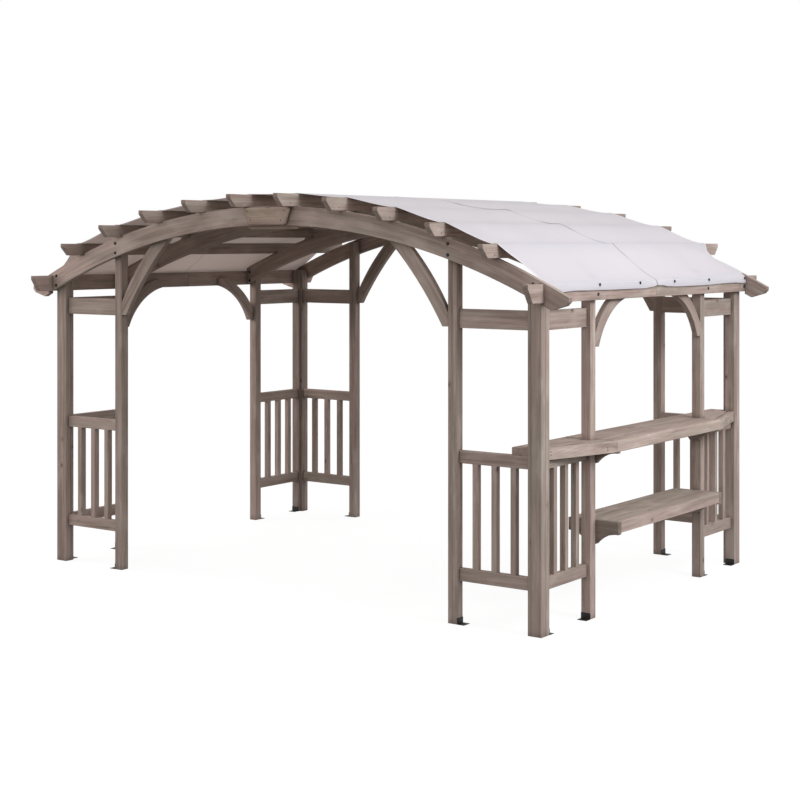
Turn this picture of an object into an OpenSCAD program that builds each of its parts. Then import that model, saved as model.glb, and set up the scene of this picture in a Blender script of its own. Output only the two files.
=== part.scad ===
// Arched pergola: L-shaped corner groups of posts carry two eave beams and four
// bowed arches, with purlins on top and a sheet over them. One long side has a
// bar top and a shelf below it. Millimetres, +Z up, standing on z = 0.
// X runs along the arches' span, Y along the purlins.

/* [Footprint] */
// Width over the outer faces of the corner posts
span = 4000; // [3000:10:5000]
// Depth over the outer faces of the corner posts
depth = 2732; // [2200:2:4000]
// Length of each corner group along the span, outer face to inner post's far face
leg_along_span = 644; // [450:2:900]
// Length of each corner group along the depth
leg_along_depth = 638; // [450:2:900]

/* [Timber] */
// Side of the square corner posts
corner_post = 92; // [70:1:140]
// Notch in the inner corner of a corner post
corner_notch = 20; // [0:1:40]
// Side of the square inner and side posts
slim_post = 64; // [45:1:90]
// Thickness of every board
board = 38; // [25:1:50]
// Distance from a post's outer face back to the rails
rail_setback = 24; // [0:1:40]

/* [Rails] */
// Gap from the top rails up to the eave beams' underside
top_rail_gap = 48; // [10:1:300]
// Height of the top rails
top_rail_height = 114; // [60:1:160]
// Underside of the lower panels
panel_bottom = 255; // [100:5:400]
// Top of the lower panels
panel_top = 1030; // [800:5:1200]
// Height of the panels' rails
panel_rail = 76; // [40:1:120]
// Side of the square balusters
baluster = 38; // [20:1:60]
// Balusters in a panel
balusters = 3; // [1:1:6]

/* [Arches] */
// Rise of the arches' top edge from the corner posts to the crown
arch_rise = 443; // [250:1:700]
// Height of the arches' top edge above the eave beams, at the corner posts
arch_above_eave = 25; // [0:1:60]
// Depth of an arch board, across the curve
arch_depth = 120; // [80:1:180]
// How far the tails of the outer arches run past the corner posts
tail_reach = 203; // [80:1:350]
// Upright end of a tail
tail_nose = 24; // [10:1:60]
// Length of the bevel under a tail's end
tail_bevel = 118; // [40:1:160]
// Corner cut between a tail's bevel and its upright end
tail_corner = 22; // [5:1:35]
// Gap between an arch's two halves at the crown
crown_joint = 2; // [1:0.5:5]

/* [Crown plates] */
// Thickness of the plates on both faces of an arch's crown
plate = 30; // [6:1:45]
// Width of the keystone plate at its top
keystone_top_width = 384; // [200:2:600]
// Width of the keystone plate at its foot
keystone_foot_width = 300; // [150:2:500]
// Height of the keystone plate
keystone_height = 112; // [60:1:160]
// Width of the backing plate
backing_width = 452; // [250:2:700]
// How far the backing plate hangs below the arch
backing_drop = 26; // [0:1:60]
// Bevel on the backing plate's lower corners
backing_bevel = 25; // [0:1:50]
// Distance from the plates' top edges down from the arch's top edge
plate_edge = 6; // [2:1:30]

// How far the arches stand above the inner posts behind them
inner_post_cover = 12; // [2:1:60]

/* [Eave beams] */
// Top of the eave beams
eave_top = 2026; // [1800:2:2300]
// Height of the eave beams
eave_height = 109; // [70:1:160]

/* [Purlins] */
// Height of a purlin
purlin_height = 82; // [60:1:140]
// Level seat on an arch past each purlin's lower side
seat_shoulder = 24; // [10:1:60]
// Distance between purlins, along the arch's top edge
purlin_spacing = 391; // [250:1:420]
// How far purlins and eave beams run past the outer arches
overhang = 172; // [60:1:350]
// Upright end of a purlin or eave beam
end_nose = 25; // [10:1:50]
// Length of the bevel under a purlin's or eave beam's end
end_bevel = 54; // [20:1:120]

/* [Braces] */
// Width of an arch brace's foot
arch_brace_foot = 40; // [25:1:90]
// Height from an arch brace's foot up to the arch, at its post
arch_brace_drop = 408; // [250:2:700]
// Length of an arch brace's seat on its post
arch_brace_seat = 82; // [50:1:180]
// Reach of an arch brace along the arch, from its post
arch_brace_reach = 440; // [250:2:700]
// Width of an arch brace where it meets the arch's underside
arch_brace_head = 155; // [80:1:220]
// Hollow of an arch brace's lower edge
arch_brace_hollow = 23; // [5:1:60]
// Bulge of an arch brace's upper edge
arch_brace_bulge = 18; // [2:1:40]
// How far an arch brace laps up behind the arch
arch_brace_lap = 90; // [30:1:110]
// Width of a side brace's foot
side_brace_foot = 44; // [25:1:90]
// Height from a side brace's foot up to the eave beam
side_brace_drop = 285; // [180:1:450]
// Length of a side brace's seat on its post
side_brace_seat = 86; // [50:1:180]
// Reach of a side brace along the eave beam, from its post
side_brace_reach = 396; // [200:2:600]
// Width of a side brace where it meets the eave beam's underside
side_brace_head = 196; // [80:1:280]
// Hollow of a side brace's lower edge
side_brace_hollow = 57; // [10:1:90]
// Bulge of a side brace's upper edge
side_brace_bulge = 16; // [2:1:30]
// How far a side brace laps up the eave beam
side_brace_lap = 60; // [20:1:100]

/* [Bar top and shelf] */
// Reach of the bar top outwards from the side posts
bar_reach_out = 150; // [60:1:300]
// Reach of the bar top inwards from the side posts
bar_reach_in = 151; // [60:1:400]
// Thickness of the bar top's boards
bar_board = 46; // [25:1:60]
// Height of the edge boards of the bar top and shelf
edge_height = 68; // [40:1:120]
// Top of the lower shelf
shelf_top = 590; // [400:2:800]
// Reach of the lower shelf and its corbels outwards from the side posts
shelf_reach_out = 155; // [80:1:300]
// Reach of the lower shelf and the corbels inwards from the side posts
shelf_reach_in = 124; // [80:1:300]
// Depth of a corbel at its post
corbel_depth = 146; // [80:1:250]
// Depth of a corbel at its tips
corbel_tip = 78; // [50:1:120]
// Hollow under a corbel's arms
corbel_hollow = 20; // [2:1:40]
// Start of the diagonal edge boards, from the corner posts' outer faces
diagonal_inset = 2; // [0:1:60]

/* [Foot brackets] */
// Thickness of the steel
bracket_steel = 3; // [2:0.5:6]
// Height of a bracket's upright leg
bracket_leg = 38; // [20:1:90]
// Length of a bracket's foot
bracket_foot = 50; // [25:1:90]
// Radius of the anchor hole
anchor_hole = 5.5; // [3:0.5:9]

/* [Canopy] */
// Thickness of the canopy's solid
canopy = 6; // [3:1:15]
// Clearance under the canopy
canopy_clearance = 1; // [0.5:0.5:4]
// Height of the canopy's flap over an eave beam
canopy_flap = 50; // [20:1:90]
// Gap between the canopy's front and back edges and the outer arches
canopy_inset = 2; // [1:1:40]
// Sag of the canopy between the outermost purlins and the eave beams
canopy_sag = 10; // [0:1:12]

/* [Hidden] */
$fn = 96;
seat = 0.3;                                  // clearance where pieces lap
over = 1;                                    // how far a cut runs past a face
sides = [-1, 1];

half_span = span / 2;
half_depth = depth / 2;
crown_height = eave_top + arch_above_eave + arch_rise;
arch_radius = (half_span * half_span + arch_rise * arch_rise) / (2 * arch_rise);
arch_centre = crown_height - arch_radius;    // height of the arches' centre
arch_inner_radius = arch_radius - arch_depth;
front_arch_y = half_depth + board;           // outer face of the outer arches
end_y = front_arch_y + overhang;             // ends of purlins and eave beams
eave_x = half_span + board;                  // outer face of the eave beams
eave_bottom = eave_top - eave_height;
top_rail_bottom = eave_bottom - top_rail_gap - top_rail_height;
tail_x = half_span + tail_reach;
inner_post_x = half_span - leg_along_span;   // inner post's face towards the middle
side_post_y = half_depth - leg_along_depth;  // side post's face towards the middle
rail_x = half_span - rail_setback;           // outer face of the rails on the sides
rail_y = half_depth - rail_setback;          // outer face of the rails front and back
lap_z = (eave_bottom + eave_top) / 2;        // height where arch and eave beam halve
bar_bottom = panel_top;
bar_inner = half_span - slim_post - bar_reach_in;
bar_outer = half_span + bar_reach_out;
shelf_inner = half_span - slim_post - shelf_reach_in;
shelf_outer = half_span + shelf_reach_out;
bar_top_z = bar_bottom + bar_board + seat;

purlin_angle = purlin_spacing / arch_radius * 180 / PI;
function purlin_x(n) = arch_radius * sin((n - 0.5) * purlin_angle);
function arch_top(x) = arch_centre + sqrt(arch_radius * arch_radius - x * x);
function arch_under(x) = arch_centre + sqrt(arch_inner_radius * arch_inner_radius - x * x);
function purlin_bottom(n) = arch_top(purlin_x(n));
function purlin_top(n) = purlin_bottom(n) + purlin_height;
inner_post_top = arch_top(inner_post_x + slim_post) - inner_post_cover;

wood = [0.50, 0.44, 0.40];
steel = [0.08, 0.08, 0.08];
white = [0.92, 0.91, 0.92];

// ---- placing ----

// children at the corner group on side sx (-1 left, 1 right) and sy (-1 front, 1 back)
module at_corner(sx, sy) {
  scale_sign(sx, sy) children();
}

module scale_sign(sx, sy) {
  mirror([sx < 0 ? 1 : 0, 0, 0]) mirror([0, sy < 0 ? 1 : 0, 0]) children();
}

module each_corner() {
  for (sx = sides, sy = sides) at_corner(sx, sy) children();
}

// a profile drawn in X and Z, as a board whose faces are at y and y + thickness
module board_xz(y, thickness) {
  translate([0, y + thickness, 0]) rotate([90, 0, 0]) linear_extrude(thickness) children();
}

// a profile drawn in Y and Z, as a board whose faces are at x and x + thickness
module board_yz(x, thickness) {
  translate([x, 0, 0]) rotate([90, 0, 90]) linear_extrude(thickness) children();
}

// ---- posts ----

module corner_post(sx, sy) {
  color(wood) at_corner(sx, sy)
    difference() {
      translate([half_span - corner_post, half_depth - corner_post, 0])
        cube([corner_post, corner_post, eave_top]);
      translate([half_span - corner_post - over, half_depth - corner_post - over, -over])
        cube([corner_notch + over, corner_notch + over, eave_top + 2 * over]);
    }
}

module inner_post(sx, sy) {
  color(wood) at_corner(sx, sy)
    translate([inner_post_x, half_depth - slim_post, 0])
      cube([slim_post, slim_post, inner_post_top]);
}

module side_post(sx, sy) {
  color(wood) at_corner(sx, sy)
    translate([half_span - slim_post, side_post_y, 0])
      cube([slim_post, slim_post, eave_top]);
}

// ---- rails and panels ----

front_rail_from = inner_post_x + slim_post;
front_rail_to = half_span - corner_post;
side_rail_from = side_post_y + slim_post;
side_rail_to = half_depth - corner_post;

module top_rails(sx, sy) {
  color(wood) at_corner(sx, sy) {
    translate([front_rail_from, rail_y - board, top_rail_bottom])
      cube([front_rail_to - front_rail_from, board, top_rail_height]);
    translate([rail_x - board, side_rail_from, top_rail_bottom])
      cube([board, side_rail_to - side_rail_from, top_rail_height]);
  }
}

// a panel of two rails and balusters, along +X from the origin, its back face on y = 0
module panel(length) {
  pitch = (length - balusters * baluster) / (balusters + 1) + baluster;
  for (z = [panel_bottom, panel_top - panel_rail])
    translate([0, 0, z]) cube([length, board, panel_rail]);
  for (n = [1 : balusters])
    translate([n * pitch - baluster, (board - min(board, baluster)) / 2, panel_bottom + panel_rail / 2])
      cube([baluster, min(board, baluster), panel_top - panel_bottom - panel_rail]);
}

module front_panel(sx, sy) {
  color(wood) at_corner(sx, sy)
    translate([front_rail_from, rail_y - board, 0]) panel(front_rail_to - front_rail_from);
}

module side_panel(sx, sy) {
  color(wood) at_corner(sx, sy)
    translate([rail_x, side_rail_from, 0]) rotate([0, 0, 90]) panel(side_rail_to - side_rail_from);
}

// ---- arches ----

module arch_curve() {
  translate([0, arch_centre]) difference() {
    circle(arch_radius, $fn = 720);
    circle(arch_inner_radius, $fn = 720);
  }
  seat_shoulders();
}

// level seats cut into the curve under the purlins
module purlin_seats() {
  for (n = [1 : 5])
    translate([purlin_x(n) - board, purlin_bottom(n) - seat]) square([2 * board, purlin_height]);
}

// the level seats run on past the purlins, but for the outermost ones
module seat_shoulders() {
  for (n = [1 : 4]) {
    x = purlin_x(n) + board / 2 + seat_shoulder;
    z = purlin_bottom(n) - seat;
    polygon([
      [purlin_x(n) - board, z - arch_depth / 2], [purlin_x(n) - board, z], [x, z],
      [x + z - arch_top(x), arch_top(x) - (z - arch_top(x)) / 2], [x, z - arch_depth / 2]
    ]);
  }
}

// one half of an outer arch, with its tail past the eave beam
module outer_arch_half() {
  bevel_x = tail_x - tail_bevel;
  nose_z = arch_top(tail_x) - tail_nose;
  difference() {
    intersection() {
      arch_curve();
      polygon([
        [crown_joint / 2, crown_height + over], [crown_joint / 2, 0], [bevel_x, 0], [bevel_x, arch_under(bevel_x)],
        [tail_x - tail_corner, nose_z - tail_corner], [tail_x, nose_z], [tail_x, crown_height + over]
      ]);
    }
    purlin_seats();
    // halved over the eave beam, so that the top edge runs on
    translate([half_span - seat, lap_z + seat - 2 * arch_depth]) square([board + 2 * seat, 2 * arch_depth]);
  }
}

// one half of an inner arch, which ends at the eave beam
module inner_arch_half() {
  difference() {
    intersection() {
      arch_curve();
      translate([crown_joint / 2, 0]) square([half_span - seat - crown_joint / 2, crown_height + over]);
    }
    purlin_seats();
  }
}

module outer_arch(sy) {
  color(wood) for (sx = sides) at_corner(sx, sy)
    board_xz(half_depth, board) outer_arch_half();
}

// the inner arches lie on the faces of the side posts that look towards the middle
module inner_arch(y) {
  color(wood) for (sx = sides) mirror([sx < 0 ? 1 : 0, 0, 0])
    board_xz(y, board) inner_arch_half();
}

inner_arch_faces = [-side_post_y, side_post_y - board];

// front faces of the four arches, front to back
arch_faces = [-front_arch_y, inner_arch_faces[0], inner_arch_faces[1], half_depth];

module keystone() {
  polygon([
    [-keystone_foot_width / 2, crown_height - arch_depth], [keystone_foot_width / 2, crown_height - arch_depth],
    [keystone_top_width / 2, crown_height - arch_depth + keystone_height],
    [-keystone_top_width / 2, crown_height - arch_depth + keystone_height]
  ]);
}

module backing() {
  z = crown_height - arch_depth - backing_drop;
  intersection() {
    polygon([
      [-backing_width / 2 + backing_bevel, z], [backing_width / 2 - backing_bevel, z],
      [backing_width / 2, z + backing_bevel], [backing_width / 2, crown_height],
      [-backing_width / 2, crown_height], [-backing_width / 2, z + backing_bevel]
    ]);
    translate([0, arch_centre]) circle(arch_radius - plate_edge, $fn = 720);
  }
}

module crown_plates() {
  color(wood) for (y = arch_faces) {
    board_xz(y < 0 ? y - plate : y + board, plate) intersection() {
      keystone();
      translate([0, arch_centre]) circle(arch_radius - plate_edge, $fn = 720);
    }
    board_xz(y < 0 ? y + board : y - plate, plate) backing();
  }
}

// ---- eave beams and purlins ----

// side view of a board along Y with a nose and a bevel at both ends, foot on z = 0
module beam_side(height) {
  polygon([
    [-end_y + end_bevel, 0], [end_y - end_bevel, 0], [end_y, height - end_nose],
    [end_y, height], [-end_y, height], [-end_y, height - end_nose]
  ]);
}

module eave_beam(sx) {
  color(wood) mirror([sx < 0 ? 1 : 0, 0, 0])
    board_yz(half_span, board) translate([0, eave_bottom]) difference() {
      beam_side(eave_height);
      for (sy = sides)
        translate([sy * (half_depth + board / 2) - board / 2 - seat, lap_z - seat - eave_bottom])
          square([board + 2 * seat, eave_top - lap_z + seat + over]);
    }
}

module purlin_pair(n) {
  color(wood) for (sx = sides)
    board_yz(sx * purlin_x(n) - board / 2, board) translate([0, purlin_bottom(n)]) beam_side(purlin_height);
}

// ---- braces ----

// a disc through points a and b that bulges by rise past the line between them,
// its centre on the left of the way from a to b
module disc_through(a, b, rise) {
  c = b - a;
  len = norm(c);
  r = (len * len / 4 + rise * rise) / (2 * rise);
  translate((a + b) / 2 + [-c[1], c[0]] / len * (r - rise)) circle(r, $fn = 360);
}

// an arch brace in X and Z: it stands on its post and laps up behind the arch
module arch_brace_side() {
  post = inner_post_x - seat;
  foot_z = arch_under(inner_post_x) - arch_brace_drop;
  foot = [post - arch_brace_foot, foot_z];
  heel = [post, foot_z + arch_brace_seat];
  head_x = inner_post_x - arch_brace_reach;
  head = [head_x, arch_under(head_x)];
  crest = [head_x + arch_brace_head, arch_under(head_x + arch_brace_head)];
  lap = (crest - heel) / norm(crest - heel) * arch_brace_lap;
  difference() {
    intersection() {
      polygon([foot, [post, foot_z], [post, (crest + lap)[1]], crest + lap, head + lap, head]);
      disc_through(heel, crest, arch_brace_bulge);
    }
    disc_through(foot, head, arch_brace_hollow);
  }
}

module arch_braces() {
  color(wood) each_corner() board_xz(half_depth - board, board) arch_brace_side();
}

// a side brace in Y and Z: it stands on its post and laps up the eave beam
module side_brace_side() {
  post = side_post_y - seat;
  foot_z = eave_bottom - side_brace_drop;
  foot = [post - side_brace_foot, foot_z];
  heel = [post, foot_z + side_brace_seat];
  head = [post - side_brace_reach, eave_bottom];
  crest = [head[0] + side_brace_head, eave_bottom];
  top = eave_bottom + side_brace_lap;
  difference() {
    intersection() {
      polygon([foot, [post, foot_z], [post, top], [head[0], top], head]);
      disc_through(heel, crest, side_brace_bulge);
    }
    disc_through(foot, head, side_brace_hollow);
  }
}

module side_braces() {
  color(wood) each_corner() board_yz(half_span - board, board) side_brace_side();
}

// ---- bar top and shelf on the right side ----

// children at both ends of the bar
module bar_ends() {
  for (sy = sides) mirror([0, sy < 0 ? 1 : 0, 0]) children();
}

corbel_y = side_post_y - board;              // face of a corbel towards the bar's middle
bar_end_y = rail_y;                          // ends of the bar top, over the panels
diagonal_from = [half_span - diagonal_inset, half_depth - corner_post - seat];
diagonal_to = [bar_outer, side_post_y];
diagonal = (diagonal_to - diagonal_from) / norm(diagonal_to - diagonal_from);

// x of the diagonal edge, set in by d, at a given y
function diagonal_x(y, d) =
  diagonal_from[0] + d / diagonal[1] + (y - diagonal_from[1]) * diagonal[0] / diagonal[1];

// plan of the boards from a side post to the corner post, inside the diagonal edge board
module bar_end_plan() {
  post_x = half_span - corner_post - seat;
  far_y = diagonal_from[1];
  difference() {
    polygon([
      [bar_inner, side_post_y + seat], [bar_inner, bar_end_y], [post_x, bar_end_y], [post_x, far_y],
      [diagonal_x(far_y, board + seat), far_y],
      [diagonal_x(side_post_y, board + seat), side_post_y + seat]
    ]);
    translate([half_span - slim_post - seat, side_post_y - over])
      square([slim_post + 2 * seat, slim_post + over + seat]);
  }
}

module bar_top() {
  color(wood) translate([0, 0, bar_bottom + seat]) {
    bar_ends() linear_extrude(bar_board) bar_end_plan();
    translate([bar_inner, -side_post_y, 0])
      cube([bar_outer - board - seat - bar_inner, 2 * side_post_y, bar_board]);
  }
}

// the diagonal edge boards sit over the panels' upper rails
module bar_edge_boards() {
  color(wood) {
    translate([bar_outer - board, seat - side_post_y, bar_top_z - edge_height])
      cube([board, 2 * (side_post_y - seat), edge_height]);
    bar_ends() difference() {
      translate([0, 0, bar_top_z - edge_height]) linear_extrude(edge_height)
        polygon([
          diagonal_from, diagonal_to,
          [diagonal_x(diagonal_to[1], board), diagonal_to[1]], [diagonal_x(diagonal_from[1], board), diagonal_from[1]]
        ]);
      translate([rail_x - board - seat, side_post_y, bar_bottom - edge_height])
        cube([board + 2 * seat, half_depth, edge_height + seat]);
    }
  }
}

module lower_shelf() {
  y = corbel_y - seat;
  color(wood) translate([shelf_inner, -y, shelf_top - board])
    cube([shelf_outer - board - seat - shelf_inner, 2 * y, board]);
}

module lower_shelf_edge() {
  y = corbel_y - seat;
  color(wood) translate([shelf_outer - board, -y, shelf_top - edge_height])
    cube([board, 2 * y, edge_height]);
}

// side view of a corbel, from tip to tip across its post, under the level z
module corbel_side(z, outer) {
  inner_tip = [shelf_inner, z - corbel_tip];
  inner_foot = [half_span - slim_post, z - corbel_depth];
  outer_foot = [half_span, z - corbel_depth];
  outer_tip = [outer, z - corbel_tip];
  difference() {
    polygon([[shelf_inner, z], inner_tip, inner_foot, outer_foot, outer_tip, [outer, z]]);
    disc_through(outer_tip, outer_foot, corbel_hollow);
    disc_through(inner_foot, inner_tip, corbel_hollow);
  }
}

// a corbel under the bar top: it carries the boards and the edge board
module bar_corbel_side() {
  difference() {
    corbel_side(bar_top_z, bar_outer);
    translate([shelf_inner - over, bar_bottom])
      square([bar_outer - shelf_inner + 2 * over, bar_board + seat + over]);
    translate([bar_outer - board - seat, bar_top_z - edge_height - seat])
      square([board + seat + over, edge_height + seat + over]);
  }
}

module corbels() {
  color(wood) bar_ends() {
    board_xz(corbel_y, board) bar_corbel_side();
    board_xz(corbel_y, board) corbel_side(shelf_top, shelf_outer);
  }
}

// ---- foot brackets ----

// upright leg on the plane x = 0, foot towards +X, centred on y = 0
module foot_bracket(width) {
  translate([0, -width / 2, 0]) cube([bracket_steel, width, bracket_leg]);
  difference() {
    translate([0, -width / 2, 0]) cube([bracket_foot, width, bracket_steel]);
    translate([(bracket_foot + bracket_steel) / 2, 0, -over])
      cylinder(r = anchor_hole, h = bracket_steel + 2 * over, $fn = 48);
  }
}

module foot_brackets() {
  color(steel) each_corner() {
    translate([half_span - slim_post / 2, half_depth - corner_post, 0]) rotate([0, 0, -90]) foot_bracket(slim_post);
    translate([half_span - slim_post / 2, side_post_y + slim_post, 0]) rotate([0, 0, 90]) foot_bracket(slim_post);
    translate([inner_post_x + slim_post, half_depth - slim_post / 2, 0]) foot_bracket(slim_post);
  }
}

// ---- canopy ----

// points where the sheet bends, from the middle out to the eave beam's flap
canopy_points = concat(
  [[0, purlin_top(1)]],
  [for (n = [1 : 5], s = [-1, 1]) [purlin_x(n) + s * board / 2, purlin_top(n)]],
  [[(purlin_x(5) + board / 2 + eave_x) / 2, (purlin_top(5) + eave_top) / 2 - canopy_sag]],
  [[eave_x, eave_top], [eave_x, eave_top - canopy_flap]]
);

module canopy_band(low, high) {
  inner = [for (p = canopy_points) [p[0] + (p[0] >= eave_x ? low : 0), p[1] + (p[1] >= eave_top ? low : 0)]];
  outer = [for (p = canopy_points) [p[0] + (p[0] >= eave_x ? high : 0), p[1] + (p[1] >= eave_top ? high : 0)]];
  count = len(inner);
  polygon(concat(inner, [for (n = [count - 1 : -1 : 0]) outer[n]]));
}

module canopy() {
  color(white) for (sx = sides) mirror([sx < 0 ? 1 : 0, 0, 0])
    board_xz(-half_depth + canopy_inset, depth - 2 * canopy_inset) canopy_band(canopy_clearance, canopy_clearance + canopy);
}

// ---- nodes ----

corner_post(-1, -1);  // corner_post_front_left
corner_post(1, -1);  // corner_post_front_right
corner_post(-1, 1);  // corner_post_back_left
corner_post(1, 1);  // corner_post_back_right
inner_post(-1, -1);  // inner_post_front_left
inner_post(1, -1);  // inner_post_front_right
inner_post(-1, 1);  // inner_post_back_left
inner_post(1, 1);  // inner_post_back_right
side_post(-1, -1);  // side_post_front_left
side_post(1, -1);  // side_post_front_right
side_post(-1, 1);  // side_post_back_left
side_post(1, 1);  // side_post_back_right
front_panel(-1, -1);  // front_panel_left
front_panel(1, -1);  // front_panel_right
front_panel(-1, 1);  // back_panel_left
front_panel(1, 1);  // back_panel_right
side_panel(-1, -1);  // side_panel_front_left
side_panel(1, -1);  // side_panel_front_right
side_panel(-1, 1);  // side_panel_back_left
side_panel(1, 1);  // side_panel_back_right
top_rails(-1, -1);  // top_rails_front_left
top_rails(1, -1);  // top_rails_front_right
top_rails(-1, 1);  // top_rails_back_left
top_rails(1, 1);  // top_rails_back_right
outer_arch(-1);  // front_arch
inner_arch(inner_arch_faces[0]);  // inner_front_arch
inner_arch(inner_arch_faces[1]);  // inner_back_arch
outer_arch(1);  // back_arch
crown_plates();
eave_beam(-1);  // eave_beam_left
eave_beam(1);  // eave_beam_right
purlin_pair(1);  // crown_purlins
purlin_pair(2);  // second_purlins
purlin_pair(3);  // third_purlins
purlin_pair(4);  // fourth_purlins
purlin_pair(5);  // outer_purlins
arch_braces();
side_braces();
bar_top();
bar_edge_boards();
lower_shelf();
lower_shelf_edge();
corbels();
foot_brackets();
canopy();
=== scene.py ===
import math

import bmesh
import bpy
from mathutils import Matrix, Vector


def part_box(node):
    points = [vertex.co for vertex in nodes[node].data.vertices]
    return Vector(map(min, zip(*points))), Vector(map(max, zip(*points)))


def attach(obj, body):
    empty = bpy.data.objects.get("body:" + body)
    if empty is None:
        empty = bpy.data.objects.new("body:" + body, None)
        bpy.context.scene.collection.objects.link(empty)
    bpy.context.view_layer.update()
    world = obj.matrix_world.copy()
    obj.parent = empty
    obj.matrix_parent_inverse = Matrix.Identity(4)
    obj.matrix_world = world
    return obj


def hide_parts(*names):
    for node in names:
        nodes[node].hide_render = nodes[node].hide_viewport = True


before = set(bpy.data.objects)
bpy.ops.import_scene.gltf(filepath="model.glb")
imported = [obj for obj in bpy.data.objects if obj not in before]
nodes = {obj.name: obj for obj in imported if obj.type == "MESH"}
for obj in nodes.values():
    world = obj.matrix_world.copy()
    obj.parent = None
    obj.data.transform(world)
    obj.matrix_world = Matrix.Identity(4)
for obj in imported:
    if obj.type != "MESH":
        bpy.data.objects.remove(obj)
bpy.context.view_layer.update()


# ---- sizes of the object and places in the frame, in metres ----

BOARD = 0.038                                   # thickness of a board
PURLIN_NODES = ["crown_purlins", "second_purlins", "third_purlins", "fourth_purlins", "outer_purlins"]
PURLINS = [(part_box(name)[1].x - BOARD / 2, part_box(name)[1].z) for name in PURLIN_NODES]   # centre x and top z
EAVE_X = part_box("eave_beam_right")[1].x         # outer face of the eave beams
EAVE_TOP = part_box("eave_beam_right")[1].z
SHEET_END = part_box("canopy")[1].y               # front and back edges of the canopy
FRONT_ARCH_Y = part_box("front_arch")[0].y        # outer face of the front arch
ARCH_RADIUS = 4.7362                            # of the arches' top edges
ARCH_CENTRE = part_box("front_arch")[1].z - ARCH_RADIUS
SAME_POINT = 0.00001                            # points closer than this are one


# ---- camera: level, with the picture shifted down ----

camera_data = bpy.data.cameras.new("camera")
camera_data.lens = 74.18
camera_data.sensor_width = 36.0
camera_data.shift_y = -0.1983
camera = bpy.data.objects.new("camera", camera_data)
camera.location = (6.827, -9.495, 2.269)
camera.rotation_euler = (math.radians(90.0), 0.0, math.radians(35.604))
bpy.context.scene.collection.objects.link(camera)
bpy.context.scene.camera = camera


# ---- small helpers ----

def smoothstep(low, high, value):
    t = min(max((value - low) / (high - low), 0.0), 1.0)
    return t * t * (3.0 - 2.0 * t)


def between(points, x):
    """Value at x on the smooth curve through (x, value) points."""
    if x <= points[0][0]:
        return points[0][1]
    for (x0, v0), (x1, v1) in zip(points, points[1:]):
        if x <= x1:
            return v0 + (v1 - v0) * smoothstep(x0, x1, x)
    return points[-1][1]


def new_piece(name, mesh, material):
    piece = bpy.data.objects.new(name, mesh)
    bpy.context.scene.collection.objects.link(piece)
    piece.data.materials.append(material)
    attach(piece, "root")
    return piece


def smooth(mesh):
    for face in mesh.polygons:
        face.use_smooth = True


class Graph:
    """Adds shader nodes to a material or a world. Most calls return an output of the node that they make."""

    def __init__(self, owner):
        self.owner = owner
        owner.use_nodes = True
        self.tree = owner.node_tree
        self.tree.nodes.clear()

    def node(self, kind, inputs=(), **settings):
        made = self.tree.nodes.new("ShaderNode" + kind)
        for key, value in settings.items():
            setattr(made, key, value)
        pairs = inputs.items() if isinstance(inputs, dict) else enumerate(inputs)
        for key, value in pairs:
            if isinstance(value, bpy.types.NodeSocket):
                self.tree.links.new(value, made.inputs[key])
            elif value is not None:
                made.inputs[key].default_value = value
        return made

    def math(self, operation, *values):
        return self.node("Math", values, operation=operation).outputs[0]

    def vector(self, x, y, z):
        return self.node("CombineXYZ", (x, y, z)).outputs[0]

    def add_vectors(self, a, b):
        return self.node("VectorMath", (a, b), operation="ADD").outputs[0]

    def scaled(self, vector, scales):
        return self.node("VectorMath", (vector, scales), operation="MULTIPLY").outputs[0]

    def noise(self, vector, scales, detail=3.0, roughness=0.5):
        """Soft noise from 0 to 1, with scales cells per metre along the vector's three axes."""
        vector = self.scaled(vector, scales)
        inputs = {"Vector": vector, "Scale": 1.0, "Detail": detail, "Roughness": roughness}
        return self.node("TexNoise", inputs).outputs["Fac"]

    def stretch(self, value, low, high, to_low=0.0, to_high=1.0):
        """Value taken smoothly from low and high over to to_low and to_high, and kept between them."""
        inputs = {"Value": value, "From Min": low, "From Max": high, "To Min": to_low, "To Max": to_high}
        return self.node("MapRange", inputs, interpolation_type="SMOOTHSTEP").outputs["Result"]

    def mix(self, factor, a, b):
        """Colour a where factor is 0 and b where it is 1."""
        return self.node("Mix", {0: factor, 6: a, 7: b}, data_type="RGBA").outputs[2]

    def switch(self, factor, a, b):
        """Vector a where factor is 0 and b where it is 1."""
        return self.node("Mix", {0: factor, 4: a, 5: b}, data_type="VECTOR").outputs[1]

    def shader(self, **inputs):
        named = {key.replace("_", " "): value for key, value in inputs.items()}
        return self.node("BsdfPrincipled", named).outputs[0]

    def path_is(self, *names):
        """1 for rays of any of these kinds."""
        found = self.node("LightPath").outputs
        value = found[names[0]]
        for name in names[1:]:
            value = self.math("MAXIMUM", value, found[name])
        return value

    def finish(self, surface, output="OutputMaterial"):
        self.node(output, (surface,))
        return self.owner


def new_material(name):
    return Graph(bpy.data.materials.new(name))


def srgb(red, green, blue):
    """A colour written in 0 to 255, as linear light."""
    return tuple((v / 255.0 / 12.92 if v <= 10 else ((v / 255.0 + 0.055) / 1.055) ** 2.4)
                 for v in (red, green, blue)) + (1.0,)


WOOD = srgb(180, 163, 153)
WOOD_GREEN = srgb(173, 160, 147)
WOOD_RED = srgb(188, 163, 155)
WOOD_DARK = srgb(116, 95, 85)
WOOD_PALE = srgb(214, 198, 188)
KNOT = srgb(84, 63, 54)
# dark joints between boards, and painted shade in corners and near other surfaces
JOINT_DIRT_AND_SHADE = srgb(52, 39, 33)


# directions of the slanting boards: along x or y and up, and along x and y
ARCH_BRACE_RUN = (-0.42, 0.56)
SIDE_BRACE_RUN = (-0.38, 0.33)
DIAGONAL_RUN = (0.23, -0.545)
# numbers that no sign has, for boards that run in the piece's other direction
DIAGONAL_KEY = 3.0
OTHER_KEY = 7.0

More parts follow.
